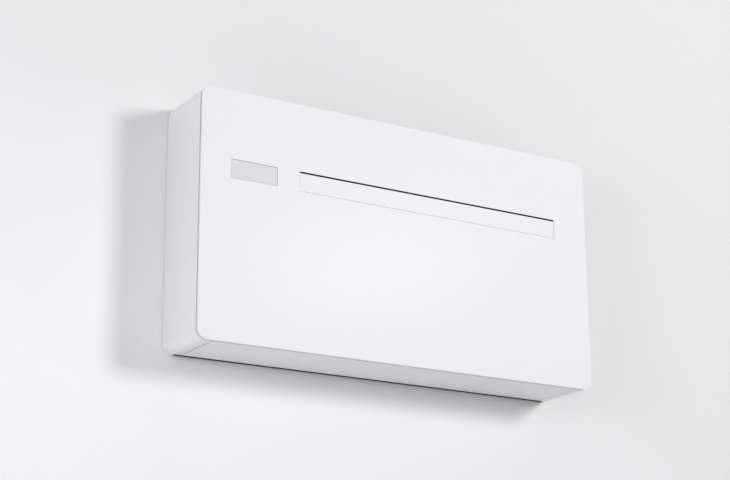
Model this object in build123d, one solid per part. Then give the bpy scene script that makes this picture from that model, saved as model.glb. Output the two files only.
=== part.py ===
# Wall hung monoblock air conditioner with no outdoor unit, all in millimetres.
# X runs to the right for someone who faces the front, Y runs into the wall and Z runs up.
# The model is drawn about the centre of the back of the casing, with the wall at Y = 0.
# Each piece is then lowered, so that the origin is the centre of the four wall bracket holes.
from build123d import *
import math
import os

os.makedirs("parts", exist_ok=True)

# Casing
WIDTH = 1010.0
HEIGHT = 549.0
DEPTH = 165.0
CORNER_R = 24.0
SHEET = 1.2
PANEL_RIM = 4.0
SHADOW_GAP = 4.5
WRAP_LIP = 38.5
PANEL_SEAM = 2.4
FRONT_FLANGE = 14.0
SHELL_FRONT = -DEPTH + PANEL_RIM + SHADOW_GAP
SHELL_BACK = -2.0
BOTTOM_BACK = -12.0
SEAL_BEAD = 3.0
PLATE_BACK = -DEPTH + SHEET
REAR_OUT = -3.8
REAR_IN = REAR_OUT - SHEET
REAR_RIM = -18.0
INNER_TOP = HEIGHT / 2 - SHEET
INNER_FLOOR = -INNER_TOP

# Wall bracket, whose hole centre becomes the origin
BRACKET_RISE = 215.0
BRACKET_W = 900.0
BRACKET_H = 70.0
BRACKET_T = 2.0
BOLT_SPAN_X = 840.0
BOLT_SPAN_Z = 50.0
BOLT_R = 4.0
BOLT_ACCESS_R = 11.0
HOOK_X = 300.0
HOOK_W = 60.0
HOOK_Z = BRACKET_RISE + 21.0
HOOK_REACH = 9.0
HOOK_UP = 12.0

# Rear screws, drain and supply cable gland
SCREW_R = 1.8
SCREW_HEAD_R = 4.0
SCREW_HEAD = 1.6
SCREW_LENGTH = 9.0
DRAIN_X = 0.0
DRAIN_Z = -260.0
DRAIN_R = 8.0
DRAIN_ACCESS_R = 11.0
GLAND_X = -420.0
GLAND_Z = -60.0
GLAND_R = 10.0
GLAND_BORE_R = 4.5

# Wall ducts
DUCT_R = 81.0
DUCT_SPAN = 293.0
DUCT_Z = -150.0
COLLAR_T = 3.0
COLLAR_FRONT = -40.0

# Outlet slot, flap and display window
SLOT_X = (-269.0, 412.5)
SLOT_Z = (76.0, 121.2)
SLOT_WALL = 2.5
DUCT_FLOOR = SLOT_Z[0] - 1.3
DUCT_ROOF = SLOT_Z[1] + 0.5
FLAP_END_GAPS = (0.5, 1.2)
FLAP_TOP_GAP = 4.0
FLAP_BOTTOM_GAP = 0.5
FLAP_CORNER_R = 1.5
FLAP_T = 2.4
FLAP_BARREL_R = 5.0
FLAP_AXIS_Y = -DEPTH + FLAP_BARREL_R
FLAP_AXIS_Z = SLOT_Z[0] + FLAP_BOTTOM_GAP + FLAP_BARREL_R
FLAP_PIN_R = 1.6
BUSH_R = 2.6
RUN_CLEARANCE = 0.05
WINDOW_X = (-434.0, -323.3)
WINDOW_Z = (78.3, 120.4)
WINDOW_RECESS = 0.8
WINDOW_GAP = 0.9

# Flap gears, with the pinion below and behind the flap axis
MODULE = 1.0
SECTOR_TEETH = 36
PINION_TEETH = 18
GEAR_X = (417.0, 423.0)
GEAR_DIRECTION = -10.0
GEAR_DISTANCE = MODULE * (SECTOR_TEETH + PINION_TEETH) / 2
PINION_Y = FLAP_AXIS_Y + GEAR_DISTANCE * math.cos(math.radians(GEAR_DIRECTION))
PINION_Z = FLAP_AXIS_Z + GEAR_DISTANCE * math.sin(math.radians(GEAR_DIRECTION))
SHAFT_R = 2.5
STEPPER_R = 14.0
STEPPER_L = 19.0
STEPPER_OFFSET = 8.0
STEPPER_X = 425.0

# Vertical vanes
VANES = 8
VANE_Y = -134.0
VANE_DEPTH = 32.0
VANE_T = 1.6
VANE_PIN_R = 2.0
VANE_PITCH = (SLOT_X[1] - SLOT_X[0]) / VANES
CRANK = 12.0
CRANK_PIN_R = 1.5
CRANK_HOLE_R = 1.7
LINK_Z = (80.5, 83.5)
VANE_MOTOR_Z = (58.5, DUCT_FLOOR - SLOT_WALL)
VANE_MOTOR_R = 12.0

# Room fan, evaporator and filters
DUCT_WALL = 3.0
DUCT_ENDS = (SLOT_X[0] - DUCT_WALL, SLOT_X[1] + DUCT_WALL)
FAN_Y = -66.0
FAN_Z = 158.0
FAN_R = 40.0
FAN_X = (-258.0, 405.0)
FAN_BLADES = 34
FAN_SHAFT_R = 4.0
BEARING_R = 11.0
COIL_T = 20.0
COIL_X = (-250.0, 399.0)
COIL_FOOT = (-144.0, 142.0)
COIL_APEX = (-70.0, 240.0)
COIL_REAR = (-18.0, 196.0)
TUBE_R = 3.5
TUBE_SHARES = (0.1, 0.3, 0.5, 0.7, 0.9)
FILTER_Y = (-146.0, -34.0)
FILTER_GAP = 0.6
FILTER_BAR = 12.0
FILTER_DEEP = 12.0
SLAT_PITCH = 8.0
SLAT_SLOT = 5.0

# Outdoor air side
WHEEL_R = 95.0
WHEEL_X = -DUCT_SPAN / 2
WHEEL_BLADES = 36
VOLUTE_X = (-268.0, -30.0)
PLENUM_X = (30.0, 262.0)
LOWER_TOP = 58.0
FOAM_Y = (-150.0, COLLAR_FRONT)
CONDENSER_X = (-26.0, 26.0)
PAN_FLOOR = INNER_FLOOR + 2.0

# Condensate pan and float
PAN_Y = (-153.0, -19.5)
PAN_X = (-463.5, 463.5)
PAN_TOP = INNER_FLOOR + 25.0
FLOAT_PLACE = (-330.0, -80.0)
FLOAT_STEM_R = 3.0

# Refrigerant circuit
COMPRESSOR_X = 395.0
COMPRESSOR_Y = -84.0
COMPRESSOR_R = 57.0
COMPRESSOR_Z = (-245.0, -49.0)
FLASK_X = COMPRESSOR_X - 103.0
FLASK_Z = (-200.0, -70.0)
FOOT_X = 58.0
FOOT_Y = 38.0
FOOT_Z = (-246.0, -243.0)
VALVE_X = (350.0, 440.0)
VALVE_Z = 30.0
VALVE_R = 12.0
PIPE_R = 4.0
PIPE_BEND = 9.0


def block(x, y, z):
    """A box between the given values along each axis."""
    spans = (x, y, z)
    middle = [(low + high) / 2 for low, high in spans]
    size = [high - low for low, high in spans]
    return Pos(*middle) * Box(*size)


def along_x(sketch, x):
    """A profile drawn in Y and Z, run along X."""
    return extrude(Plane.YZ.offset(x[0]) * sketch, amount=x[1] - x[0])


def along_y(sketch, y):
    """A profile drawn in X and Z, run along Y."""
    return extrude(Plane.XZ.offset(-y[1]) * sketch, amount=y[1] - y[0])


def along_z(sketch, z):
    """A profile drawn in X and Y, run along Z."""
    return extrude(Plane.XY.offset(z[0]) * sketch, amount=z[1] - z[0])


def disc(radius, across, up):
    return Pos(across, up) * Circle(radius)


def ring(outer, inner, across, up):
    return Pos(across, up) * (Circle(outer) - Circle(inner))


def rectangle(across, up):
    middle = Pos((across[0] + across[1]) / 2, (up[0] + up[1]) / 2)
    return middle * Rectangle(across[1] - across[0], up[1] - up[0])


def save(name, shape):
    """Lower a piece to the bracket's hole centre and write it."""
    solids = [Pos(0, 0, -BRACKET_RISE) * solid for solid in shape.solids()]
    shape = solids[0] if len(solids) == 1 else Compound(children=solids)
    export_step(shape, f"parts/{name}.step")


# Casing of painted sheet

def outline(inset):
    """The rounded front outline of the casing, drawn in by the inset."""
    return RectangleRounded(WIDTH - 2 * inset, HEIGHT - 2 * inset, CORNER_R - inset)


def front_panel():
    plate = along_y(outline(0), (-DEPTH, PLATE_BACK))
    front_edges = plate.faces().sort_by(Axis.Y)[0].outer_wire().edges()
    plate = fillet(front_edges, 0.8)
    rim = along_y(outline(0) - outline(SHEET), (PLATE_BACK, -DEPTH + PANEL_RIM))
    slot = along_y(rectangle(SLOT_X, SLOT_Z), (-DEPTH, PLATE_BACK))
    window = along_y(rectangle(WINDOW_X, WINDOW_Z), (-DEPTH, PLATE_BACK))
    return plate + rim - slot - window


def front_panel_studs():
    """Spacer studs that hold the front panel off the body."""
    side = WIDTH / 2 - FRONT_FLANGE / 2 - SHEET / 2
    edge = HEIGHT / 2 - FRONT_FLANGE / 2 - SHEET / 2
    places = [(s * side, z) for s in (-1, 1) for z in (-190.0, 0.0, 190.0)]
    places += [(x, s * edge) for s in (-1, 1) for x in (-330.0, 0.0, 330.0)]
    studs = [along_y(disc(4.5, x, z), (PLATE_BACK, SHELL_FRONT)) for x, z in places]
    return Compound(children=studs)


def casing_shell():
    """The whole casing ring with its folded front edge, before it is parted."""
    skin = along_y(outline(0), (SHELL_FRONT, SHELL_BACK))
    room = along_y(outline(SHEET), (SHELL_FRONT + SHEET, SHELL_BACK))
    mouth = along_y(outline(FRONT_FLANGE), (SHELL_FRONT, SHELL_FRONT + SHEET))
    return skin - room - mouth - seal_strip(BOTTOM_BACK, SHELL_BACK)


def seal_strip(front, back):
    """The straight strip along the bottom edge, as thick as the sheet."""
    half = WIDTH / 2 - CORNER_R
    return block((-half, half), (front, back), (-HEIGHT / 2, INNER_FLOOR))


def side_panel(shell, side):
    inner = WIDTH / 2 - WRAP_LIP
    reach = sorted((side * inner, side * WIDTH))
    return shell & block(reach, (-DEPTH, 0), (-HEIGHT, HEIGHT))


def middle_panel(shell, up):
    half = WIDTH / 2 - WRAP_LIP - PANEL_SEAM
    height = sorted((0, up * HEIGHT))
    return shell & block((-half, half), (-DEPTH, 0), height)


def filter_spans():
    """The two stretches along X that the filter cassettes fill."""
    middle = (SLOT_X[0] + SLOT_X[1]) / 2
    half_bar = FILTER_BAR / 2
    return ((SLOT_X[0], middle - half_bar), (middle + half_bar, SLOT_X[1]))


def top_panel(shell):
    panel = middle_panel(shell, 1)
    for span in filter_spans():
        panel -= block(span, FILTER_Y, (0, HEIGHT))
    return panel


def bracket_holes(radius, y):
    """Four cylinders at the bracket's corner holes."""
    places = [(sx * BOLT_SPAN_X / 2, BRACKET_RISE + sz * BOLT_SPAN_Z / 2)
              for sx in (-1, 1) for sz in (-1, 1)]
    return [along_y(disc(radius, x, z), y) for x, z in places]


def hook_window(x):
    span = (x - HOOK_W / 2 - 2, x + HOOK_W / 2 + 2)
    return block(span, (REAR_RIM, 0), (HOOK_Z - HOOK_UP - 4, HOOK_Z + BRACKET_T))


def screw_places():
    """Where the rear frame's screws sit, near its edge."""
    side = WIDTH / 2 - 26.0
    edge = HEIGHT / 2 - 12.0
    places = [(s * side, z) for s in (-1, 1) for z in (-200.0, 0.0, 130.0)]
    return places + [(x, s * edge) for s in (-1, 1) for x in (-400.0, 70.0, 400.0)]


def rear_frame():
    plate = along_y(outline(SHEET), (REAR_IN, REAR_OUT))
    rim = along_y(outline(SHEET) - outline(2 * SHEET), (REAR_RIM, REAR_IN))
    frame = plate + rim
    for side in (-1, 1):
        frame -= along_y(disc(DUCT_R + COLLAR_T, side * DUCT_SPAN / 2, DUCT_Z), (REAR_IN, REAR_OUT))
        frame -= hook_window(side * HOOK_X)
    for hole in bracket_holes(BOLT_ACCESS_R, (REAR_IN, REAR_OUT)):
        frame -= hole
    for x, z in screw_places():
        frame -= along_y(disc(SCREW_R, x, z), (REAR_IN, REAR_OUT))
    frame -= along_y(disc(DRAIN_ACCESS_R, DRAIN_X, DRAIN_Z), (REAR_IN, REAR_OUT))
    return frame - along_y(disc(GLAND_R, GLAND_X, GLAND_Z), (REAR_IN, REAR_OUT))


def casing_screws():
    screws = []
    for x, z in screw_places():
        head = along_y(disc(SCREW_HEAD_R, x, z), (REAR_OUT, REAR_OUT + SCREW_HEAD))
        shank = along_y(disc(SCREW_R, x, z), (REAR_OUT - SCREW_LENGTH, REAR_OUT))
        screws.append(head + shank)
    return Compound(children=screws)


def wall_bracket():
    half = BRACKET_H / 2
    bracket = block((-BRACKET_W / 2, BRACKET_W / 2), (-BRACKET_T, 0),
                    (BRACKET_RISE - half, BRACKET_RISE + half))
    for side in (-1, 1):
        span = (side * HOOK_X - HOOK_W / 2, side * HOOK_X + HOOK_W / 2)
        bracket += block(span, (-HOOK_REACH, -BRACKET_T), (HOOK_Z, HOOK_Z + BRACKET_T))
        bracket += block(span, (-HOOK_REACH, -HOOK_REACH + BRACKET_T), (HOOK_Z, HOOK_Z + HOOK_UP))
    for hole in bracket_holes(BOLT_R, (-BRACKET_T, 0)):
        bracket -= hole
    return bracket


def duct_collar(side):
    x = side * DUCT_SPAN / 2
    tube = along_y(ring(DUCT_R + COLLAR_T, DUCT_R, x, DUCT_Z), (COLLAR_FRONT, REAR_OUT))
    flange = along_y(ring(DUCT_R + 4 * COLLAR_T, DUCT_R, x, DUCT_Z), (REAR_IN - 2, REAR_IN))
    return tube + flange


def wall_seals():
    """Foam rings round the ducts and a foam strip along the bottom, pressed on the wall."""
    rings = [ring(DUCT_R + 16, DUCT_R + COLLAR_T, s * DUCT_SPAN / 2, DUCT_Z) for s in (-1, 1)]
    half = WIDTH / 2 - CORNER_R
    bead = block((-half, half), (REAR_OUT, 0), (-HEIGHT / 2, -HEIGHT / 2 + SEAL_BEAD))
    strip = seal_strip(BOTTOM_BACK, REAR_OUT) + bead
    return Compound(children=[along_y(face, (REAR_OUT, 0)) for face in rings] + [strip])


def rear_bumpers():
    places = [(s * 430.0, -225.0) for s in (-1, 1)]
    return Compound(children=[along_y(disc(12.0, x, z), (REAR_OUT, 0)) for x, z in places])


# Display

def display_window():
    across = (WINDOW_X[0] + WINDOW_GAP, WINDOW_X[1] - WINDOW_GAP)
    up = (WINDOW_Z[0] + WINDOW_GAP, WINDOW_Z[1] - WINDOW_GAP)
    pane = block(across, (-DEPTH + WINDOW_RECESS, PLATE_BACK), up)
    frame = 4.0
    flange = block((WINDOW_X[0] - frame, WINDOW_X[1] + frame), (PLATE_BACK, PLATE_BACK + 2),
                   (WINDOW_Z[0] - frame, WINDOW_Z[1] + frame))
    return pane + flange


def touch_board():
    back = PLATE_BACK + 2
    board = block(WINDOW_X, (back, back + 1.6), WINDOW_Z)
    middle = (WINDOW_X[0] + WINDOW_X[1]) / 2
    parts = [block((middle - 20, middle + 20), (back + 1.6, back + 5), (92, 112))]
    for step in range(4):
        x = WINDOW_X[0] + 8 + 28 * step
        parts.append(block((x, x + 6), (back + 1.6, back + 4), (84, 89)))
    for part in parts:
        board += part
    return board


# Flap and its gears

def outlet_flap():
    across = (SLOT_X[0] + FLAP_END_GAPS[0], SLOT_X[1] - FLAP_END_GAPS[1])
    top = SLOT_Z[1] - FLAP_TOP_GAP
    foot = FLAP_AXIS_Z - FLAP_BARREL_R
    plate = rectangle((-DEPTH, -DEPTH + FLAP_T), (FLAP_AXIS_Z, top))
    stiffener = rectangle((-DEPTH, -DEPTH + 2 * FLAP_T), (top - FLAP_T, top))
    barrel = disc(FLAP_BARREL_R, FLAP_AXIS_Y, FLAP_AXIS_Z)
    corner = rectangle((-DEPTH, FLAP_AXIS_Y), (foot + FLAP_CORNER_R, FLAP_AXIS_Z))
    corner += rectangle((-DEPTH + FLAP_CORNER_R, FLAP_AXIS_Y), (foot, FLAP_AXIS_Z))
    corner += disc(FLAP_CORNER_R, -DEPTH + FLAP_CORNER_R, foot + FLAP_CORNER_R)
    flap = along_x(plate + stiffener + corner + barrel, across)
    pin = disc(FLAP_PIN_R, FLAP_AXIS_Y, FLAP_AXIS_Z)
    flap += along_x(pin, (DUCT_ENDS[0], across[0]))
    return flap + along_x(pin, (across[1], GEAR_X[1]))


def flap_bushes():
    rings = ring(BUSH_R, FLAP_PIN_R + RUN_CLEARANCE, FLAP_AXIS_Y, FLAP_AXIS_Z)
    spans = ((DUCT_ENDS[0], SLOT_X[0]), (SLOT_X[1], DUCT_ENDS[1]))
    return Compound(children=[along_x(rings, span) for span in spans])


def gear_face(teeth, first_tooth):
    """An involute gear of 20 degree pressure angle, with one tooth centred at first_tooth."""
    pitch_r = MODULE * teeth / 2
    base_r = pitch_r * math.cos(math.radians(20))
    root_r = pitch_r - 1.25 * MODULE
    tip_r = pitch_r + MODULE
    backlash = 0.08
    half_pitch = math.pi / (2 * teeth) - backlash / pitch_r

    def involute(radius):
        angle = math.acos(min(1.0, base_r / radius))
        return math.tan(angle) - angle

    flank = []
    for step in range(6):
        radius = max(base_r, root_r) + (tip_r - max(base_r, root_r)) * step / 5
        flank.append((radius, half_pitch + involute(pitch_r) - involute(radius)))
    if root_r < base_r:
        flank.insert(0, (root_r, flank[0][1]))
    points = []
    for tooth in range(teeth):
        centre = math.radians(first_tooth) + 2 * math.pi * tooth / teeth
        points += [(r * math.cos(centre - a), r * math.sin(centre - a)) for r, a in flank]
        points += [(r * math.cos(centre + a), r * math.sin(centre + a)) for r, a in reversed(flank)]
    return make_face(Polyline(*points, close=True))


def flap_sector_gear():
    reach = 2 * MODULE * SECTOR_TEETH
    turns = [math.radians(GEAR_DIRECTION + angle) for angle in (-75, -50, -25, 0, 15)]
    wedge = [(0.0, 0.0)] + [(reach * math.cos(turn), reach * math.sin(turn)) for turn in turns]
    sector = gear_face(SECTOR_TEETH, GEAR_DIRECTION) & make_face(Polyline(*wedge, close=True))
    sector = sector + Circle(FLAP_PIN_R + 1.8) - Circle(FLAP_PIN_R)
    return along_x(Pos(FLAP_AXIS_Y, FLAP_AXIS_Z) * sector, GEAR_X)


def flap_pinion():
    first = GEAR_DIRECTION + 180 + 180 / PINION_TEETH
    gear = along_x(Pos(PINION_Y, PINION_Z) * gear_face(PINION_TEETH, first), GEAR_X)
    return gear + along_x(disc(SHAFT_R, PINION_Y, PINION_Z), (GEAR_X[1], STEPPER_X + 10))


def flap_motor():
    y = PINION_Y + STEPPER_OFFSET
    can = along_x(disc(STEPPER_R, y, PINION_Z), (STEPPER_X, STEPPER_X + STEPPER_L))
    ears = rectangle((y - 3.5, y + 3.5), (PINION_Z - 21, PINION_Z + 21))
    motor = can + along_x(ears, (STEPPER_X, STEPPER_X + 1))
    return motor - along_x(disc(SHAFT_R + RUN_CLEARANCE, PINION_Y, PINION_Z), (STEPPER_X, STEPPER_X + 12))


# Outlet duct with scroll, guard and vanes

def thick_wall(points, start, finish, thickness):
    """A curved wall whose inner face passes the points, thickened to the right of its run."""
    outer = []
    for index, (y, z) in enumerate(points):
        if index == 0:
            run = start
        elif index == len(points) - 1:
            run = finish
        else:
            run = (points[index + 1][0] - points[index - 1][0], points[index + 1][1] - points[index - 1][1])
        size = math.hypot(*run)
        outer.append((y + thickness * run[1] / size, z - thickness * run[0] / size))
    edges = [Spline(*points, tangents=(start, finish)), Line(points[-1], outer[-1])]
    edges += [Spline(*outer, tangents=(start, finish)), Line(outer[0], points[0])]
    return make_face(edges)


def outlet_duct():
    lip = PLATE_BACK + 0.2
    wall = SLOT_WALL
    floor, roof = DUCT_FLOOR, DUCT_ROOF
    scroll = thick_wall([(-95, floor), (-44, 86), (-17, 122), (-11, 150), (-19, 176)], (1, 0), (-0.45, 1), wall)
    profile = rectangle((lip, -95), (floor - wall, floor)) + scroll
    profile += rectangle((lip, -118), (roof, roof + wall))
    profile += make_face(Polyline((-119, roof), (-116, roof), (-109, 144), (-111.5, 145), close=True))
    duct = along_x(profile, SLOT_X)
    cheek = [(lip, floor - wall), (lip, 122), (-162, 152), (-88, 254), (-52, 254), (REAR_IN, 214)]
    cheek = make_face(Polyline(*cheek, (REAR_IN, floor - wall), close=True))
    ear_y = PINION_Y + STEPPER_OFFSET
    ear_span = 17.5
    tab = rectangle((ear_y - 5, ear_y + 5), (PINION_Z - ear_span - 4, floor))
    duct += along_x(cheek, (DUCT_ENDS[0], SLOT_X[0])) + along_x(cheek + tab, (SLOT_X[1], DUCT_ENDS[1]))
    duct -= along_x(disc(BUSH_R, FLAP_AXIS_Y, FLAP_AXIS_Z), DUCT_ENDS)
    duct -= along_x(disc(BEARING_R, FAN_Y, FAN_Z), DUCT_ENDS)
    for y, z in coil_pipe_places():
        duct -= along_x(disc(PIPE_R + 1, y, z), (SLOT_X[1], DUCT_ENDS[1]))
    for x in vane_places():
        duct -= along_z(disc(VANE_PIN_R + RUN_CLEARANCE, x, VANE_Y), (floor - wall, roof + wall))
    for z in (PINION_Z - ear_span, PINION_Z + ear_span):
        duct += along_x(disc(3, ear_y, z), (DUCT_ENDS[1], STEPPER_X))
    return duct


def vane_places():
    return [SLOT_X[0] + VANE_PITCH * (index + 0.5) for index in range(VANES)]


def vane(index):
    x = vane_places()[index]
    floor, roof = DUCT_FLOOR, DUCT_ROOF
    blade = along_z(Pos(x, VANE_Y) * SlotOverall(VANE_DEPTH, VANE_T, rotation=90), (floor + 0.6, roof - 0.6))
    blade -= block((x - 5, x + 5), (VANE_Y + CRANK - 7, VANE_Y + VANE_DEPTH), (floor, LINK_Z[1] + 1))
    blade += along_z(disc(CRANK_PIN_R, x, VANE_Y + CRANK), (LINK_Z[0] - 1, LINK_Z[1] + 1))
    low = VANE_MOTOR_Z[0] + 3 if index == 0 else floor - SLOT_WALL
    blade += along_z(disc(VANE_PIN_R, x, VANE_Y), (low, floor + 0.6))
    return blade + along_z(disc(VANE_PIN_R, x, VANE_Y), (roof - 0.6, roof + SLOT_WALL))


def vane_link_bar():
    places = vane_places()
    y = VANE_Y + CRANK
    middle = Pos((places[0] + places[-1]) / 2, y)
    bar = middle * SlotOverall(places[-1] - places[0] + 16, 8)
    bar -= [disc(CRANK_HOLE_R, x, y) for x in places]
    return along_z(bar, LINK_Z)


def vane_motor():
    x = vane_places()[0]
    can = along_z(disc(VANE_MOTOR_R, x, VANE_Y + 6), VANE_MOTOR_Z)
    return can - along_z(disc(VANE_PIN_R + RUN_CLEARANCE, x, VANE_Y), VANE_MOTOR_Z)


def finger_guard():
    rows, columns = 5, 10
    row = (DUCT_ROOF - DUCT_FLOOR) / rows
    column = (SLOT_X[1] - SLOT_X[0]) / columns
    grille = rectangle(SLOT_X, (DUCT_FLOOR, DUCT_ROOF))
    for r in range(rows):
        for c in range(columns):
            across = (SLOT_X[0] + column * c + 1.2, SLOT_X[0] + column * (c + 1) - 1.2)
            grille -= rectangle(across, (DUCT_FLOOR + row * r + 0.8, DUCT_FLOOR + row * (r + 1) - 0.8))
    return along_y(grille, (-113, -111.5))


# Room fan

def cross_flow_fan():
    blade = Rot(0, 0, 62) * Rectangle(9.5, 1.0)
    blades = Sketch() + [Rot(0, 0, 360 / FAN_BLADES * n) * Pos(FAN_R - 5, 0) * blade for n in range(FAN_BLADES)]
    fan = along_x(Pos(FAN_Y, FAN_Z) * blades, FAN_X)
    sections = 6
    for n in range(sections + 1):
        x = FAN_X[0] + (FAN_X[1] - FAN_X[0] - 2) * n / sections
        inner = FAN_SHAFT_R if n in (0, sections) else FAN_R - 11
        fan += along_x(ring(FAN_R, inner, FAN_Y, FAN_Z), (x, x + 2))
    fan += along_x(disc(FAN_SHAFT_R, FAN_Y, FAN_Z), (DUCT_ENDS[0] - 3, FAN_X[0] + 12))
    return fan + along_x(disc(FAN_SHAFT_R, FAN_Y, FAN_Z), (FAN_X[1] - 12, DUCT_ENDS[1] + 22))


def cross_flow_bearing():
    return along_x(ring(BEARING_R, FAN_SHAFT_R + RUN_CLEARANCE, FAN_Y, FAN_Z), (DUCT_ENDS[0] - 1, SLOT_X[0] + 1))


def cross_flow_motor():
    start = DUCT_ENDS[1]
    motor = along_x(disc(44, FAN_Y, FAN_Z), (start, start + 4)) + along_x(disc(36, FAN_Y, FAN_Z), (start, start + 60))
    return motor - along_x(disc(FAN_SHAFT_R + RUN_CLEARANCE, FAN_Y, FAN_Z), (start, start + 24))


# Evaporator

def slab_point(share):
    """A point on the centre line of the evaporator's front slab."""
    return tuple(a + (b - a) * share for a, b in zip(COIL_FOOT, COIL_APEX))


def coil_pipe_places():
    return [slab_point(0.3), slab_point(0.7)]


def evaporator_fins():
    half = COIL_T / 2
    front = (COIL_APEX[0] - COIL_FOOT[0], COIL_APEX[1] - COIL_FOOT[1])
    rear = (COIL_REAR[0] - COIL_APEX[0], COIL_REAR[1] - COIL_APEX[1])
    n1 = (-front[1] / math.hypot(*front), front[0] / math.hypot(*front))
    n2 = (-rear[1] / math.hypot(*rear), rear[0] / math.hypot(*rear))
    share = 1 + n1[0] * n2[0] + n1[1] * n2[1]
    miter = ((n1[0] + n2[0]) / share, (n1[1] + n2[1]) / share)

    def moved(point, normal, distance):
        return (point[0] + normal[0] * distance, point[1] + normal[1] * distance)

    sides = ((COIL_FOOT, n1), (COIL_APEX, miter), (COIL_REAR, n2))
    outer = [moved(point, normal, half) for point, normal in sides]
    inner = [moved(point, normal, -half) for point, normal in reversed(sides)]
    slab = along_x(make_face(Polyline(*outer, *inner, close=True)), COIL_X)
    for share in TUBE_SHARES:
        y, z = slab_point(share)
        slab -= along_x(disc(TUBE_R, y, z), COIL_X)
    return slab


def hairpin(start, finish, x, outward):
    """A half round tube bend from one tube end to the next."""
    middle = [(a + b) / 2 for a, b in zip(start, finish)]
    reach = math.dist(start, finish) / 2
    path = ThreePointArc((x, *start), (x + outward * reach * 0.8, *middle), (x, *finish))
    return sweep(Plane(path @ 0, z_dir=path % 0) * Circle(TUBE_R), path=path)


def evaporator_tubes():
    places = [slab_point(share) for share in TUBE_SHARES]
    tubes = [along_x(disc(TUBE_R, y, z), COIL_X) for y, z in places]
    bends = [hairpin(places[0], places[1], COIL_X[0], -1), hairpin(places[2], places[3], COIL_X[0], -1)]
    return Compound(children=tubes + bends)


def drip_tray():
    roof = DUCT_ROOF + SLOT_WALL
    profile = rectangle((-162, -122), (roof, roof + 1.5))
    profile += rectangle((-162, -160.5), (roof, 150)) + rectangle((-123.5, -122), (roof, 136))
    return along_x(profile, (SLOT_X[0], SLOT_X[1]))


# Filters

def filter_guides():
    wall = 3.0
    ledge = 4.0
    across = (SLOT_X[0] - wall, SLOT_X[1] + wall)
    frame = block(across, (FILTER_Y[0] - wall, FILTER_Y[1] + wall), (258, INNER_TOP))
    for span in filter_spans():
        frame -= block(span, FILTER_Y, (261.4, INNER_TOP))
        frame -= block((span[0] + ledge, span[1] - ledge), (FILTER_Y[0] + ledge, FILTER_Y[1] - ledge), (258, 262))
    return frame


def filter_box(index, inset):
    span = filter_spans()[index]
    return (span[0] + inset, span[1] - inset), (FILTER_Y[0] + inset, FILTER_Y[1] - inset)


def filter_cassette(index):
    top = HEIGHT / 2
    frame = block(*filter_box(index, FILTER_GAP), (top - FILTER_DEEP - 0.8, top))
    frame -= block(*filter_box(index, FILTER_GAP + 2), (top - FILTER_DEEP - 0.8, top - 1.8))
    across, deep = filter_box(index, FILTER_GAP + 4)
    count = int((across[1] - across[0]) / SLAT_PITCH)
    middle = (deep[0] + deep[1]) / 2
    slots = []
    for n in range(count):
        x = (across[0] + across[1]) / 2 + (n - (count - 1) / 2) * SLAT_PITCH
        for y in ((deep[0], middle - 2), (middle + 2, deep[1])):
            slots.append(rectangle((x - SLAT_SLOT / 2, x + SLAT_SLOT / 2), y))
    return frame - along_z(Sketch() + slots, (top - 1.8, top))


def filter_mesh(index):
    low = HEIGHT / 2 - FILTER_DEEP + 1.5
    return block(*filter_box(index, FILTER_GAP + 2), (low, low + 0.8))


# Outdoor air side

def volute_outline():
    top = LOWER_TOP - 10
    outlet = [(WHEEL_X, DUCT_Z - WHEEL_R - 8), (VOLUTE_X[1], DUCT_Z - WHEEL_R - 8)]
    outlet += [(VOLUTE_X[1], top), (WHEEL_X + 20, top), (WHEEL_X - WHEEL_R - 8, DUCT_Z + 20)]
    return make_face(Polyline(*outlet, close=True)) + disc(WHEEL_R + 8, WHEEL_X, DUCT_Z)


def fan_volute():
    shell = block(VOLUTE_X, FOAM_Y, (PAN_FLOOR, LOWER_TOP))
    shell -= along_y(volute_outline(), (FOAM_Y[0] + 14, FOAM_Y[1] - 12))
    return shell - along_y(disc(72, WHEEL_X, DUCT_Z), (FOAM_Y[1] - 12, FOAM_Y[1]))


def centrifugal_wheel():
    plate_y = FOAM_Y[0] + 20
    rim_y = FOAM_Y[1] - 16
    blade = Rot(0, 0, 35) * Rectangle(22, 1.6)
    blades = [Rot(0, 0, 360 / WHEEL_BLADES * n) * Pos(WHEEL_R - 11.5, 0) * blade for n in range(WHEEL_BLADES)]
    centre = Pos(WHEEL_X, DUCT_Z)
    wheel = along_y(centre * (Sketch() + blades), (plate_y + 3, rim_y - 3))
    wheel += along_y(ring(WHEEL_R, 49, WHEEL_X, DUCT_Z), (plate_y, plate_y + 3))
    wheel += along_y(ring(WHEEL_R, WHEEL_R - 22, WHEEL_X, DUCT_Z), (rim_y - 3, rim_y))
    wheel += along_y(ring(51, 49, WHEEL_X, DUCT_Z), (plate_y, plate_y + 54))
    wheel += along_y(disc(51, WHEEL_X, DUCT_Z), (plate_y + 52, plate_y + 55))
    return wheel + along_y(disc(5, WHEEL_X, DUCT_Z), (plate_y + 36, plate_y + 60))


def centrifugal_motor():
    front = FOAM_Y[0] + 14
    motor = along_y(disc(44, WHEEL_X, DUCT_Z), (front, front + 46))
    return motor - along_y(disc(5 + RUN_CLEARANCE, WHEEL_X, DUCT_Z), (front + 38, front + 46))


def condenser_places():
    return [(x, y) for y in (-134, -112, -90, -68, -46) for x in (-12.0, 12.0)]


def condenser_coil():
    """The fin block with its brazed tubes standing through it."""
    top = 48.0
    slab = block(CONDENSER_X, (-148, -24), (PAN_FLOOR, top))
    for x, y in condenser_places():
        slab -= along_z(disc(TUBE_R, x, y), (PAN_FLOOR, top))
    tubes = [along_z(disc(TUBE_R, x, y), (PAN_FLOOR + 1, top + 4)) for x, y in condenser_places()]
    return Compound(children=[slab] + tubes)


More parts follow.
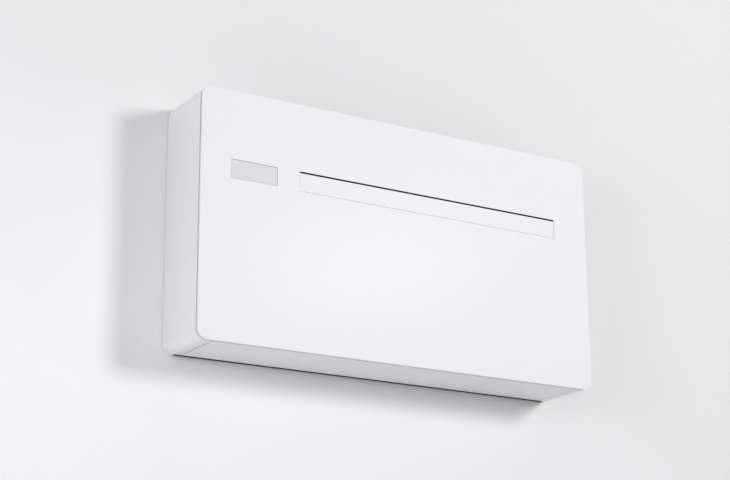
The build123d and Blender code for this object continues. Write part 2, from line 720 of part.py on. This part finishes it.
def exhaust_plenum():
    wall = 10.0
    shell = block(PLENUM_X, FOAM_Y, (PAN_FLOOR, LOWER_TOP))
    inner_x = (PLENUM_X[0], PLENUM_X[1] - wall)
    shell -= block(inner_x, (FOAM_Y[0] + wall, FOAM_Y[1] - wall), (PAN_FLOOR + wall, LOWER_TOP - wall))
    return shell - along_y(disc(DUCT_R + COLLAR_T, DUCT_SPAN / 2, DUCT_Z), (FOAM_Y[1] - wall, FOAM_Y[1]))


def section_divider():
    slab = block(SLOT_X, (FOAM_Y[0], REAR_IN), (LOWER_TOP, DUCT_FLOOR - SLOT_WALL))
    return slab - along_z(disc(VANE_MOTOR_R + 0.2, vane_places()[0], VANE_Y + 6), (LOWER_TOP, SLOT_Z[0]))


# Refrigerant circuit

def rod_ends(rod):
    """The round edges at both ends of a rod."""
    return rod.edges().filter_by(GeomType.CIRCLE)


def compressor():
    body = fillet(rod_ends(along_z(disc(COMPRESSOR_R, COMPRESSOR_X, COMPRESSOR_Y), COMPRESSOR_Z)), 22)
    feet = block((COMPRESSOR_X - FOOT_X - 11, COMPRESSOR_X + FOOT_X + 11),
                 (COMPRESSOR_Y - FOOT_Y - 11, COMPRESSOR_Y + FOOT_Y + 11), FOOT_Z)
    flask = fillet(rod_ends(along_z(disc(20, FLASK_X, COMPRESSOR_Y), FLASK_Z)), 12)
    strap = block((FLASK_X, COMPRESSOR_X), (COMPRESSOR_Y - 4, COMPRESSOR_Y + 4), (-140, -125))
    return body + feet + flask + strap


def compressor_grommets():
    places = [(COMPRESSOR_X + sx * FOOT_X, COMPRESSOR_Y + sy * FOOT_Y) for sx in (-1, 1) for sy in (-1, 1)]
    return Compound(children=[along_z(ring(8, 4, x, y), (PAN_FLOOR, FOOT_Z[0])) for x, y in places])


def reversing_valve():
    valve = along_x(disc(VALVE_R, COMPRESSOR_Y, VALVE_Z), VALVE_X)
    return valve + block((380, 410), (COMPRESSOR_Y - 10, COMPRESSOR_Y + 10), (VALVE_Z + 8, VALVE_Z + 27))


def pipe(*points):
    path = FilletPolyline(*points, radius=PIPE_BEND) if len(points) > 2 else Line(*points)
    return sweep(Plane(path @ 0, z_dir=path % 0) * Circle(PIPE_R), path=path)


def refrigerant_pipes():
    y = COMPRESSOR_Y
    (y1, z1), (y2, z2) = coil_pipe_places()
    below = VALVE_Z - VALVE_R
    runs = [pipe((COMPRESSOR_X, y, COMPRESSOR_Z[1]), (COMPRESSOR_X, y, below))]
    runs.append(pipe((FLASK_X, y, FLASK_Z[1]), (FLASK_X, y, -10), (368, y, -10), (368, y, below)))
    runs.append(pipe((COIL_X[1], y1, z1), (457, y1, z1), (457, y1, 62), (457, y, 62), (457, y, VALVE_Z),
                     (VALVE_X[1], y, VALVE_Z)))
    runs.append(pipe((COIL_X[1], y2, z2), (488, y2, z2), (488, y2, 62), (488, -146, 62), (488, -146, -30),
                     (284, -146, -30)))
    return Compound(children=runs)


# Electrics

def electrical_box():
    across, up = (-488, -284), (-110, 54)
    box = block(across, (-150, -60), up) - block((across[0] + 1.2, across[1] - 1.2), (-150, -61.2),
                                                 (up[0] + 1.2, up[1] - 1.2))
    return box + block(across, (-60, REAR_IN), (up[0], up[0] + 1.2))


def control_board():
    board = block((-478, -300), (-68, -66.4), (-100, 44))
    for post in ((-470, -92), (-308, -92), (-470, 36), (-308, 36)):
        board += along_y(disc(3, *post), (-66.4, -61.2))
    for x in (-462, -434, -406):
        board += along_y(disc(12, x, -60), (-110, -68))
    sink = block((-370, -310), (-72, -68), (-95, -20))
    for n in range(8):
        sink += block((-370 + 8 * n, -368 + 8 * n), (-100, -72), (-95, -20))
    return board + sink + block((-460, -400), (-98, -68), (-15, 30)) + block((-370, -330), (-76, -68), (0, 36))


def terminal_block():
    block_x = (-386, -376)
    body = block(block_x, (-90, -68), (-80, -10))
    for n in range(5):
        body -= block((block_x[0] + 2, block_x[1] - 2), (-90, -80), (-77 + 13.5 * n, -67 + 13.5 * n))
    return body


def cable_gland():
    gland = along_y(ring(GLAND_R, GLAND_BORE_R, GLAND_X, GLAND_Z), (-14, SHELL_BACK))
    return gland + along_y(ring(GLAND_R + 4, GLAND_BORE_R, GLAND_X, GLAND_Z), (-8, REAR_IN))


# Condensate

def base_pan():
    """The moulded tray with its drain hole and the float's stem."""
    pan = block(PAN_X, PAN_Y, (INNER_FLOOR, PAN_TOP))
    pan -= block((PAN_X[0] + 2, PAN_X[1] - 2), (PAN_Y[0] + 2, PAN_Y[1] - 2), (PAN_FLOOR, PAN_TOP))
    pan -= along_y(disc(DRAIN_R - 2, DRAIN_X, DRAIN_Z), (PAN_Y[1] - 2, PAN_Y[1]))
    pan += along_z(disc(FLOAT_STEM_R, *FLOAT_PLACE), (PAN_FLOOR, -230))
    return pan + along_z(disc(7, *FLOAT_PLACE), (PAN_FLOOR, -266)) + along_z(disc(7, *FLOAT_PLACE), (-234, -230))


def drain_spigot():
    tube = along_y(ring(DRAIN_R, DRAIN_R - 2, DRAIN_X, DRAIN_Z), (PAN_Y[1], -1))
    return tube + along_y(ring(DRAIN_R + 3.5, DRAIN_R - 2, DRAIN_X, DRAIN_Z), (PAN_Y[1], PAN_Y[1] + 2))


def condensate_float():
    return along_z(ring(14, FLOAT_STEM_R + 0.15, *FLOAT_PLACE), (-265.7, -250))


shell = casing_shell()
save("front_panel", front_panel())
save("front_panel_studs", front_panel_studs())
save("left_side_panel", side_panel(shell, -1))
save("right_side_panel", side_panel(shell, 1))
save("top_panel", top_panel(shell))
save("bottom_panel", middle_panel(shell, -1))
save("rear_frame", rear_frame())
save("casing_screws", casing_screws())
save("wall_bracket", wall_bracket())
save("duct_collar_left", duct_collar(-1))
save("duct_collar_right", duct_collar(1))
save("wall_seals", wall_seals())
save("rear_bumpers", rear_bumpers())
save("display_window", display_window())
save("touch_board", touch_board())
save("outlet_flap", outlet_flap())
save("flap_bushes", flap_bushes())
save("flap_sector_gear", flap_sector_gear())
save("flap_pinion", flap_pinion())
save("flap_motor", flap_motor())
save("outlet_duct", outlet_duct())
save("finger_guard", finger_guard())
for number in range(VANES):
    save(f"vane_{number + 1}", vane(number))
save("vane_link_bar", vane_link_bar())
save("vane_motor", vane_motor())
save("cross_flow_fan", cross_flow_fan())
save("cross_flow_bearing", cross_flow_bearing())
save("cross_flow_motor", cross_flow_motor())
save("evaporator_fins", evaporator_fins())
save("evaporator_tubes", evaporator_tubes())
save("drip_tray", drip_tray())
save("filter_guides", filter_guides())
for number, side_name in enumerate(("left", "right")):
    save(f"filter_cassette_{side_name}", filter_cassette(number))
    save(f"filter_mesh_{side_name}", filter_mesh(number))
save("fan_volute", fan_volute())
save("centrifugal_wheel", centrifugal_wheel())
save("centrifugal_motor", centrifugal_motor())
save("condenser_coil", condenser_coil())
save("exhaust_plenum", exhaust_plenum())
save("section_divider", section_divider())
save("compressor", compressor())
save("compressor_grommets", compressor_grommets())
save("reversing_valve", reversing_valve())
save("refrigerant_pipes", refrigerant_pipes())
save("electrical_box", electrical_box())
save("control_board", control_board())
save("terminal_block", terminal_block())
save("cable_gland", cable_gland())
save("base_pan", base_pan())
save("drain_spigot", drain_spigot())
save("condensate_float", condensate_float())
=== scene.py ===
import math
import random

import bmesh
import bpy
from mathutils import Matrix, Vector


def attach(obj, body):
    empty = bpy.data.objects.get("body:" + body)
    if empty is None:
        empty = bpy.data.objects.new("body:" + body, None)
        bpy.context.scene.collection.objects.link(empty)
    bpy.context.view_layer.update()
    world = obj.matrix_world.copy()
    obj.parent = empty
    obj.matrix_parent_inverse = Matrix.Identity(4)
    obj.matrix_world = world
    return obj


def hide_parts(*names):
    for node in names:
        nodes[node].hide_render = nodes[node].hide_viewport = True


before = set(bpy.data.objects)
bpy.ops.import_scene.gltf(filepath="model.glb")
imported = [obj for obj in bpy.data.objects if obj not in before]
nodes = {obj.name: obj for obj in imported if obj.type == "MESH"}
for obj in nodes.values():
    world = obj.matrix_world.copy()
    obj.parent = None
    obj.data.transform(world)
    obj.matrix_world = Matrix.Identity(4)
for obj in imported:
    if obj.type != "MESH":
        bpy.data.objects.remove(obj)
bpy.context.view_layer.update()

# Wall bracket and rear frame: hot dip galvanised sheet, cut and folded on a press.
# The zinc freezes in flat crystals a few millimetres wide, so each one reflects a little apart
# from the next. The bracket is screwed to the wall and the rear frame hangs on its two hooks.


class Wire:
    """An output of a material node, which takes part in sums as a number does."""

    def __init__(self, finish, socket):
        self.finish = finish
        self.socket = socket

    def sum(self, operation, *terms):
        return self.finish.add("Math", {"operation": operation}, dict(enumerate(terms)))

    def __add__(self, other):
        return self.sum("ADD", self, other)

    def __sub__(self, other):
        return self.sum("SUBTRACT", self, other)

    def __rsub__(self, other):
        return self.sum("SUBTRACT", other, self)

    def __mul__(self, other):
        return self.sum("MULTIPLY", self, other)

    def __truediv__(self, other):
        return self.sum("DIVIDE", self, other)

    def __gt__(self, other):
        return self.sum("GREATER_THAN", self, other)

    def __lt__(self, other):
        return self.sum("LESS_THAN", self, other)


class Finish:
    """A surface finish, built up node by node."""

    def __init__(self, name, metallic=0.0, coat=0.0):
        self.material = bpy.data.materials.new(name)
        self.material.use_nodes = True
        self.tree = self.material.node_tree
        self.shader = self.tree.nodes["Principled BSDF"]
        self.shader.inputs["Metallic"].default_value = metallic
        self.shader.inputs["Coat Weight"].default_value = coat
        self.place = self.add("TexCoord", output="Object")

    def add(self, kind, settings=None, sockets=None, output=0):
        """Add a node of any type: its settings first, then the values or wires of its sockets."""
        node = self.tree.nodes.new("ShaderNode" + kind)
        for name, value in (settings or {}).items():
            setattr(node, name, value)
        for name, value in (sockets or {}).items():
            self.feed(node.inputs[name], value)
        return Wire(self, node.outputs[output])

    def feed(self, socket, value):
        """Link a wire to a socket, or set the socket to a plain value."""
        if isinstance(value, Wire):
            self.tree.links.new(value.socket, socket)
        else:
            socket.default_value = value

    def noise(self, size, detail=2.0, roughness=0.5):
        """Cloudy noise whose features are about size metres across."""
        return self.add("TexNoise", {}, {"Vector": self.place, "Scale": 0.5 / size,
                                         "Detail": detail, "Roughness": roughness})

    def coordinate(self, axis):
        """How far along axis 0, 1 or 2 a point lies, in metres."""
        return self.add("SeparateXYZ", {}, {0: self.place}, output=axis)

    def blend(self, share, first, second):
        """A colour between two others."""
        return self.add("Mix", {"data_type": "RGBA"}, {0: share, 6: first, 7: second}, output=2)

    def colour(self, value):
        self.feed(self.shader.inputs["Base Color"], value)

    def rough(self, value):
        self.feed(self.shader.inputs["Roughness"], value)

    def relief(self, height, depth, strength=1.0):
        """A bump whose full height is depth metres."""
        sockets = {"Height": height, "Distance": depth, "Strength": strength}
        self.feed(self.shader.inputs["Normal"], self.add("Bump", {}, sockets, output="Normal"))


def coat(finish, *names):
    """Give CAD nodes or pieces a finish over their whole surface."""
    for name in names:
        piece = nodes.get(name) or bpy.data.objects[name]
        piece.data.materials.clear()
        piece.data.materials.append(finish.material)


def tone(red, green, blue):
    return (red, green, blue, 1.0)


def galvanised(name, tint=1.0):
    """Zinc coated steel, whose crystals differ a little in brightness and gloss."""
    zinc = Finish(name, metallic=0.85)
    crystal = zinc.add("TexVoronoi", {}, {"Vector": zinc.place, "Scale": 160.0}, output="Color")
    shade = zinc.add("SeparateColor", {}, {0: crystal}, output=0)
    cloud = zinc.noise(0.06, 3.0)
    light = tone(0.60 * tint, 0.62 * tint, 0.64 * tint)
    dark = tone(0.40 * tint, 0.42 * tint, 0.44 * tint)
    zinc.colour(zinc.blend(shade * 0.7 + cloud * 0.3, dark, light))
    zinc.rough(shade * 0.14 + cloud * 0.16 + 0.34)
    zinc.relief(zinc.noise(0.004, 2.0) * 0.6 + shade * 0.4, 0.00003)
    return zinc


sheet_zinc = galvanised("galvanised_sheet")
coat(sheet_zinc, "wall_bracket", "rear_frame")

# Rear hardware: foam seals and rubber bumpers that press on the wall, moulded duct collars,
# the supply cable gland and the drain spigot. The plastics come from the mould with a fine
# spark eroded grain, and the foam is cut from sheet, so it shows its cells.


def moulded(name, red, green, blue, rough=0.5):
    """Moulded plastic or rubber with a fine grain."""
    plastic = Finish(name)
    texture = plastic.noise(0.0007, 2.0)
    flow = plastic.noise(0.05, 2.0)
    deep = tone(red * 0.86, green * 0.86, blue * 0.86)
    plastic.colour(plastic.blend(flow * 0.7 + texture * 0.3, deep, tone(red, green, blue)))
    plastic.rough(texture * 0.12 + flow * 0.08 + (rough - 0.1))
    plastic.relief(texture, 0.00002, 0.7)
    return plastic


def cellular(name, red, green, blue, cell):
    """Foam whose cells are about cell metres across."""
    foam = Finish(name)
    bead = foam.add("TexVoronoi", {}, {"Vector": foam.place, "Scale": 1.0 / cell},
                    output="Distance")
    wear = foam.noise(0.03, 3.0)
    deep = tone(red * 0.6, green * 0.6, blue * 0.6)
    foam.colour(foam.blend(bead * 0.6 + wear * 0.5, tone(red, green, blue), deep))
    foam.rough(wear * 0.1 + 0.8)
    foam.relief(bead, cell * 0.25, 0.5)
    return foam


dark_plastic = moulded("dark_moulded_plastic", 0.028, 0.029, 0.031)
seal_foam = cellular("black_seal_foam", 0.02, 0.02, 0.021, 0.0012)
coat(dark_plastic, "duct_collar_left", "duct_collar_right", "cable_gland", "drain_spigot")
coat(seal_foam, "wall_seals", "rear_bumpers")
screw_zinc = galvanised("zinc_plated_screw", 1.15)


def pan_screws(name, places, seat, radius, height, shank, length):
    """Screws driven in along -Y to their seat, each with a cross recess at its own angle."""
    rings, spokes = 14, 64
    arm_width, arm_length, recess_depth, recess_slope = 0.00045, 0.0024, 0.0008, 0.00025
    rim_drop = 0.45
    chance = random.Random(12)
    shape = bmesh.new()
    for x, z in places:
        turn = chance.uniform(0.0, math.pi / 2)

        def spot(ring, spoke):
            """A point of the head, sunk where it lies in the recess."""
            r, angle = radius * ring / rings, 2 * math.pi * spoke / spokes
            along, across = abs(r * math.cos(angle - turn)), abs(r * math.sin(angle - turn))
            inside = max(min(arm_width - across, arm_length - along),
                         min(arm_width - along, arm_length - across))
            recess = recess_depth * min(max(inside / recess_slope, 0.0), 1.0)
            crown = height * (1.0 - rim_drop * (ring / rings) ** 4)
            return shape.verts.new((x + r * math.cos(angle), seat + crown - recess,
                                    z + r * math.sin(angle)))

        def circle(r, y):
            return [shape.verts.new((x + r * math.cos(2 * math.pi * k / spokes), y,
                                     z + r * math.sin(2 * math.pi * k / spokes)))
                    for k in range(spokes)]

        middle = spot(0, 0)
        loops = [[spot(ring, spoke) for spoke in range(spokes)] for ring in range(1, rings + 1)]
        loops += [circle(radius, seat), circle(shank, seat), circle(shank, seat - length)]
        for k in range(spokes):
            shape.faces.new((middle, loops[0][k - 1], loops[0][k]))
            for inner, outer in zip(loops, loops[1:]):
                shape.faces.new((inner[k - 1], outer[k - 1], outer[k], inner[k]))
        shape.faces.new(loops[-1])
    bmesh.ops.recalc_face_normals(shape, faces=shape.faces)
    mesh = bpy.data.meshes.new(name)
    shape.to_mesh(mesh)
    shape.free()
    mesh.shade_smooth()
    screws = bpy.data.objects.new(name, mesh)
    bpy.context.scene.collection.objects.link(screws)
    return screws


side_screws = [(s * 0.479, z) for s in (-1, 1) for z in (-0.415, -0.215, -0.085)]
edge_screws = [(x, -0.215 + s * 0.2625) for s in (-1, 1) for x in (-0.4, 0.07, 0.4)]
frame_screws = pan_screws("frame_screws", side_screws + edge_screws, seat=-0.0038, radius=0.004,
                          height=0.0016, shank=0.0018, length=0.009)
coat(screw_zinc, "frame_screws")
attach(frame_screws, "casing")
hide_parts("casing_screws")

# Condensate pan: grey polystyrene, moulded in one piece with the stem of the float.
# The float is a black ring of foamed plastic that rises with the water and stops the compressor.

pan_plastic = moulded("grey_pan_plastic", 0.30, 0.305, 0.31, 0.55)
float_plastic = cellular("black_float", 0.025, 0.025, 0.027, 0.0009)
coat(pan_plastic, "base_pan")
coat(float_plastic, "condensate_float")

# Refrigerant circuit: a rotary compressor in black stoving paint on four rubber grommets, with
# its suction flask, a brass and copper reversing valve and bent copper pipes. Brazing has left
# darker, matt oxide in clouds along the copper.


def oxidised_copper(name):
    """Drawn copper under clouds of brown oxide."""
    copper = Finish(name, metallic=1.0)
    oxide = copper.noise(0.022, 4.0, roughness=0.6)
    drawn = copper.noise(0.0011, 2.0)
    bright = tone(0.82, 0.44, 0.28)
    brown = tone(0.38, 0.16, 0.09)
    copper.colour(copper.blend(oxide, brown, bright))
    copper.rough(0.62 - oxide * 0.38 + drawn * 0.08)
    copper.relief(drawn, 0.00002, 0.5)
    return copper


def stove_enamel(name, red, green, blue, rough):
    """Baked enamel that has run a little while wet."""
    enamel = Finish(name)
    run = enamel.noise(0.018, 3.0)
    fine = enamel.noise(0.0018, 2.0)
    thin = tone(red * 0.7, green * 0.7, blue * 0.7)
    enamel.colour(enamel.blend(run, thin, tone(red, green, blue)))
    enamel.rough(run * 0.15 + fine * 0.05 + rough)
    enamel.relief(run * 0.5 + fine * 0.5, 0.00006, 0.6)
    return enamel


pipe_copper = oxidised_copper("brazed_copper")
compressor_black = stove_enamel("compressor_enamel", 0.016, 0.016, 0.017, 0.28)
grommet_rubber = moulded("grommet_rubber", 0.018, 0.018, 0.019, 0.8)
coat(compressor_black, "compressor")
coat(grommet_rubber, "compressor_grommets")
coat(pipe_copper, "reversing_valve", "refrigerant_pipes")

# Outdoor air side: volute, plenum and divider of moulded bead foam, the centrifugal wheel with
# its motor, and the condenser, a block of thin aluminium fins pressed onto copper tubes.

bead_foam = cellular("grey_bead_foam", 0.075, 0.078, 0.082, 0.0042)
wheel_plastic = moulded("black_wheel_plastic", 0.045, 0.047, 0.05, 0.42)
motor_steel = galvanised("zinc_plated_motor", 1.0)


def fin_stack(name, pitch, axis):
    """Aluminium fins seen on edge: bright lines, with painted shade for the dark gaps between
    them.
    """
    fins = Finish(name, metallic=0.9)
    along = fins.coordinate(axis)
    line = fins.add("Math", {"operation": "PINGPONG"}, {0: along, 1: pitch / 2})
    edge = line / (pitch / 2)
    # Painted shade: the gaps between the fins are coloured dark, for the shade that falls into
    # them.
    fins.colour(fins.blend(edge, tone(0.18, 0.185, 0.19), tone(0.72, 0.74, 0.76)))
    fins.rough(fins.noise(0.01, 2.0) * 0.2 + 0.3)
    fins.relief(edge, pitch * 0.5, 0.8)
    return fins


condenser_fins = fin_stack("condenser_fins", 0.0018, 2)
coat(bead_foam, "fan_volute", "exhaust_plenum", "section_divider")
coat(wheel_plastic, "centrifugal_wheel")
coat(motor_steel, "centrifugal_motor")
coat(condenser_fins, "condenser_coil")

# Room air side: the evaporator leans over the cross flow fan, its fins pressed onto copper
# tubes, and a drip tray catches what runs off it. The fan of glass filled plastic turns between
# a rubber cushioned bearing and its motor.

evaporator_finish = fin_stack("evaporator_fins", 0.0015, 0)
tray_plastic = moulded("grey_tray_plastic", 0.32, 0.325, 0.33, 0.5)
fan_plastic = moulded("black_fan_plastic", 0.05, 0.052, 0.055, 0.4)
coat(evaporator_finish, "evaporator_fins")
coat(pipe_copper, "evaporator_tubes")
coat(tray_plastic, "drip_tray")
coat(fan_plastic, "cross_flow_fan")
coat(motor_steel, "cross_flow_bearing", "cross_flow_motor")

# Outlet: a dark moulded duct with its scroll, a finger guard, eight upright vanes that one link
# bar swings together, and the nylon gears and steppers that move vanes and flap.

gear_nylon = moulded("natural_nylon", 0.66, 0.62, 0.52, 0.45)
coat(dark_plastic, "outlet_duct", "finger_guard", "vane_link_bar")
for number in range(1, 9):
    coat(dark_plastic, f"vane_{number}")
coat(gear_nylon, "flap_bushes", "flap_sector_gear", "flap_pinion")
coat(motor_steel, "flap_motor", "vane_motor")

# Electrics: a folded zinc sheet box, the power board on its pillars, the terminal block for the
# supply cable, and the small touch board behind the display pane.


def solder_mask(name):
    """Green lacquer over glass weave and patches of copper."""
    board = Finish(name)
    weave = board.noise(0.0009, 1.0)
    copper_fill = board.add("TexVoronoi", {}, {"Vector": board.place, "Scale": 70.0},
                            output="Distance")
    board.colour(board.blend(copper_fill * 0.9 + weave * 0.3,
                             tone(0.012, 0.085, 0.035), tone(0.02, 0.16, 0.06)))
    board.rough(weave * 0.1 + 0.3)
    board.relief(weave * 0.4 + copper_fill * 0.6, 0.00004, 0.5)
    return board


board_green = solder_mask("green_circuit_board")
terminal_nylon = moulded("white_terminal_nylon", 0.62, 0.60, 0.55, 0.45)
coat(galvanised("box_sheet", 0.95), "electrical_box")
coat(board_green, "control_board", "touch_board")
coat(terminal_nylon, "terminal_block")

# Side, top and bottom panels: steel sheet with a white powder coat, baked on after folding.
# Powder flows out into a faint orange peel, and the coat is a little less glossy over the folds.
# The side panels wrap round the corners, and the screws of the rear frame hold all four.


def powder_coat(name, red, green, blue):
    """White paint or plastic with orange peel under a thin, glossier skin."""
    paint = Finish(name, coat=0.07)
    peel = paint.noise(0.0016, 1.5)
    drift = paint.noise(0.16, 2.0)
    duller = tone(red * 0.985, green * 0.985, blue * 0.985)
    paint.colour(paint.blend(drift, duller, tone(red, green, blue)))
    paint.rough(drift * 0.06 + peel * 0.04 + 0.48)
    paint.relief(peel, 0.000012, 0.6)
    paint.shader.inputs["Coat Roughness"].default_value = 0.2
    return paint


casing_paint = powder_coat("white_powder_coat", 0.832, 0.823, 0.834)
coat(casing_paint, "left_side_panel", "right_side_panel", "top_panel", "bottom_panel")

# Filters: two white cassettes with slatted grilles lie in guides behind the top panel, each with
# a grey net of polypropylene thread below its slats. They lift out upwards to be washed.

guide_plastic = moulded("grey_guide_plastic", 0.32, 0.325, 0.33, 0.55)
coat(guide_plastic, "filter_guides")
cassette_plastic = powder_coat("white_cassette_plastic", 0.83, 0.835, 0.842)
coat(cassette_plastic, "filter_cassette_left", "filter_cassette_right")
net_thread = moulded("filter_net_thread", 0.05, 0.053, 0.056, 0.6)


def threads(axis, pitch, share):
    """1 on the threads that cross this axis, 0 between them."""
    steps = net_thread.coordinate(axis) / pitch
    return steps.sum("FRACT", steps) < share


NET_PITCH, THREAD_SHARE = 0.0016, 0.3
lengthways = threads(0, NET_PITCH, THREAD_SHARE)
crossways = threads(1, NET_PITCH, THREAD_SHARE)
net_thread.feed(net_thread.shader.inputs["Alpha"],
                lengthways.sum("MAXIMUM", lengthways, crossways))
coat(net_thread, "filter_mesh_left", "filter_mesh_right")

# Front panel: one flat sheet with the same white powder coat, its edge turned back all round.
# Twelve zinc plated studs pressed into its back hold it off the casing, which leaves the dark gap.
# The outlet flap and the display pane sit flush in their slots. The pane's rim behind its face
# is coloured near black, as painted shade for the gap round it.

coat(casing_paint, "front_panel")
stud_zinc = galvanised("zinc_plated_stud", 1.2)
coat(stud_zinc, "front_panel_studs")
flap_plastic = powder_coat("white_moulded_flap", 0.83, 0.82, 0.829)
coat(flap_plastic, "outlet_flap")
pane_plastic = powder_coat("white_pane", 0.70, 0.693, 0.70)
PANE_FACE_Y = -0.164
# Painted shade: the pane's sides behind its face are coloured near black for the shade in the gap.
painted_gap_shade = pane_plastic.coordinate(1) > PANE_FACE_Y
pane_plastic.colour(pane_plastic.blend(painted_gap_shade, tone(0.70, 0.693, 0.70),
                                       tone(0.20, 0.20, 0.205)))
coat(pane_plastic, "display_window")

# Room for the picture: a pale wall behind the casing and a pale floor below it, which can be seen
# from the room only, so that views from behind or below look through them to the unit. Their paint
# goes from dark to pale as painted light and shade. The main lamp hangs at the upper right, as the
# shadows show, and its shine comes from a glow lamp.


def room_plane(name, corners, paint, share, dark, pale):
    """A big square of wall or floor, whose paint goes from dark to pale as painted light and
    shade.
    """
    mesh = bpy.data.meshes.new(name)
    mesh.from_pydata(corners, [], [(0, 1, 2, 3)])
    plane = bpy.data.objects.new(name, mesh)
    bpy.context.scene.collection.objects.link(plane)
    roller = paint.noise(0.004, 2.0)
    paint.colour(paint.blend(share, dark, pale))
    paint.rough(roller * 0.1 + 0.8)
    paint.relief(roller, 0.00015, 0.3)
    clear_back = paint.add("MixShader", {}, {
        0: paint.add("NewGeometry", output="Backfacing"),
        1: Wire(paint, paint.shader.outputs[0]),
        2: paint.add("BsdfTransparent")})
    paint.feed(paint.tree.nodes["Material Output"].inputs["Surface"], clear_back)
    mesh.materials.append(paint.material)
    return plane


ROOM = 6.0
WALL_Y, WALL_TOP, FLOOR_Z = 0.0006, 3.5, -2.3
wall_paint = Finish("wall_paint")
# Painted light and shade: the wall is paler towards the lower left and darker towards the upper
# right and the far left, as the lamps would light it.
painted_light_to_lower_left = wall_paint.coordinate(0) * -0.63 - wall_paint.coordinate(2) * 1.4 - 0.24
painted_shade_far_left = wall_paint.coordinate(0) * 0.6 + 1.8
wall = room_plane("room_wall",
                  [(-ROOM, WALL_Y, FLOOR_Z), (ROOM, WALL_Y, FLOOR_Z),
                   (ROOM, WALL_Y, WALL_TOP), (-ROOM, WALL_Y, WALL_TOP)],
                  wall_paint, painted_light_to_lower_left.sum("MINIMUM", painted_light_to_lower_left, painted_shade_far_left),
                  tone(0.811, 0.805, 0.801), tone(0.91, 0.904, 0.908))
wall.visible_shadow = False
# Painted light: the floor goes from pale on the left to dark on the right, for the uneven light it
# throws up under the unit.
floor_paint = Finish("floor_paint")
room_plane("room_floor",
           [(-ROOM, -ROOM, FLOOR_Z), (ROOM, -ROOM, FLOOR_Z),
            (ROOM, WALL_Y, FLOOR_Z), (-ROOM, WALL_Y, FLOOR_Z)],
           floor_paint, floor_paint.coordinate(0) * -0.5 + 0.5,
           tone(0.50, 0.50, 0.505), tone(0.86, 0.86, 0.86))


UNIT_MIDDLE = Vector((0.0, -0.08, -0.215))


def soft_lamp(name, place, width, height, power):
    """An oval lamp that faces the middle of the unit."""
    lamp = bpy.data.lights.new(name, "AREA")
    lamp.shape = "ELLIPSE"
    lamp.size, lamp.size_y = width, height
    lamp.energy = power
    holder = bpy.data.objects.new(name, lamp)
    holder.location = place
    holder.rotation_euler = (UNIT_MIDDLE - Vector(place)).to_track_quat("-Z", "Y").to_euler()
    bpy.context.scene.collection.objects.link(holder)
    return holder


right_lamp = soft_lamp("right_lamp", (2.62, -4.44, 0.86), 1.35, 1.35, power=131.0)
right_lamp.visible_glossy = False
glow_lamp = soft_lamp("glow_lamp", (2.5, -4.45, 1.14), 1.3, 0.5, power=60.0)
glow_lamp.visible_diffuse = False
soft_lamp("left_lamp", (-2.08, -4.54, 0.65), 2.4, 2.4, power=22.0)
far_left_lamp = soft_lamp("far_left_lamp", (-3.88, -2.32, -0.61), 2.0, 2.0, power=50.0)
far_left_lamp.visible_glossy = False
soft_lamp("ceiling_lamp", (0.0, -1.2, 2.6), 1.6, 1.6, power=8.5)
soft_lamp("rear_lamp", (0.3, 3.2, -0.22), 1.2, 0.6, power=30.0)

# Light from all round, a little blue as in the photo's shadows. The camera and reflections see a
# plain pale backdrop in its place.

world = bpy.data.worlds.new("pale_room")
bpy.context.scene.world = world
world.use_nodes = True
sky = world.node_tree
ambient = sky.nodes["Background"]
ambient.inputs["Color"].default_value = tone(0.91, 0.918, 1.0)
ambient.inputs["Strength"].default_value = 0.30
backdrop = sky.nodes.new("ShaderNodeBackground")
backdrop.inputs["Color"].default_value = tone(0.80, 0.805, 0.815)
seen = sky.nodes.new("ShaderNodeMixShader")
rays = sky.nodes.new("ShaderNodeLightPath")
either = sky.nodes.new("ShaderNodeMath")
either.operation = "MAXIMUM"
sky.links.new(rays.outputs["Is Camera Ray"], either.inputs[0])
sky.links.new(rays.outputs["Is Glossy Ray"], either.inputs[1])
sky.links.new(either.outputs[0], seen.inputs[0])
sky.links.new(ambient.outputs[0], seen.inputs[1])
sky.links.new(backdrop.outputs[0], seen.inputs[2])
sky.links.new(seen.outputs[0], sky.nodes["World Output"].inputs["Surface"])

# Camera below and to the left of the unit, almost level, with a long lens.

camera = bpy.data.objects.new("camera", bpy.data.cameras.new("camera"))
camera.location = (-2.04156, -3.27984, -1.33764)
camera.rotation_euler = [math.radians(angle) for angle in (106.9158, 0.3703, -31.7376)]
camera.data.lens = 87.229
camera.data.sensor_width = 36.0
bpy.context.scene.collection.objects.link(camera)
bpy.context.scene.camera = camera
bpy.context.scene.view_settings.view_transform = "Standard"
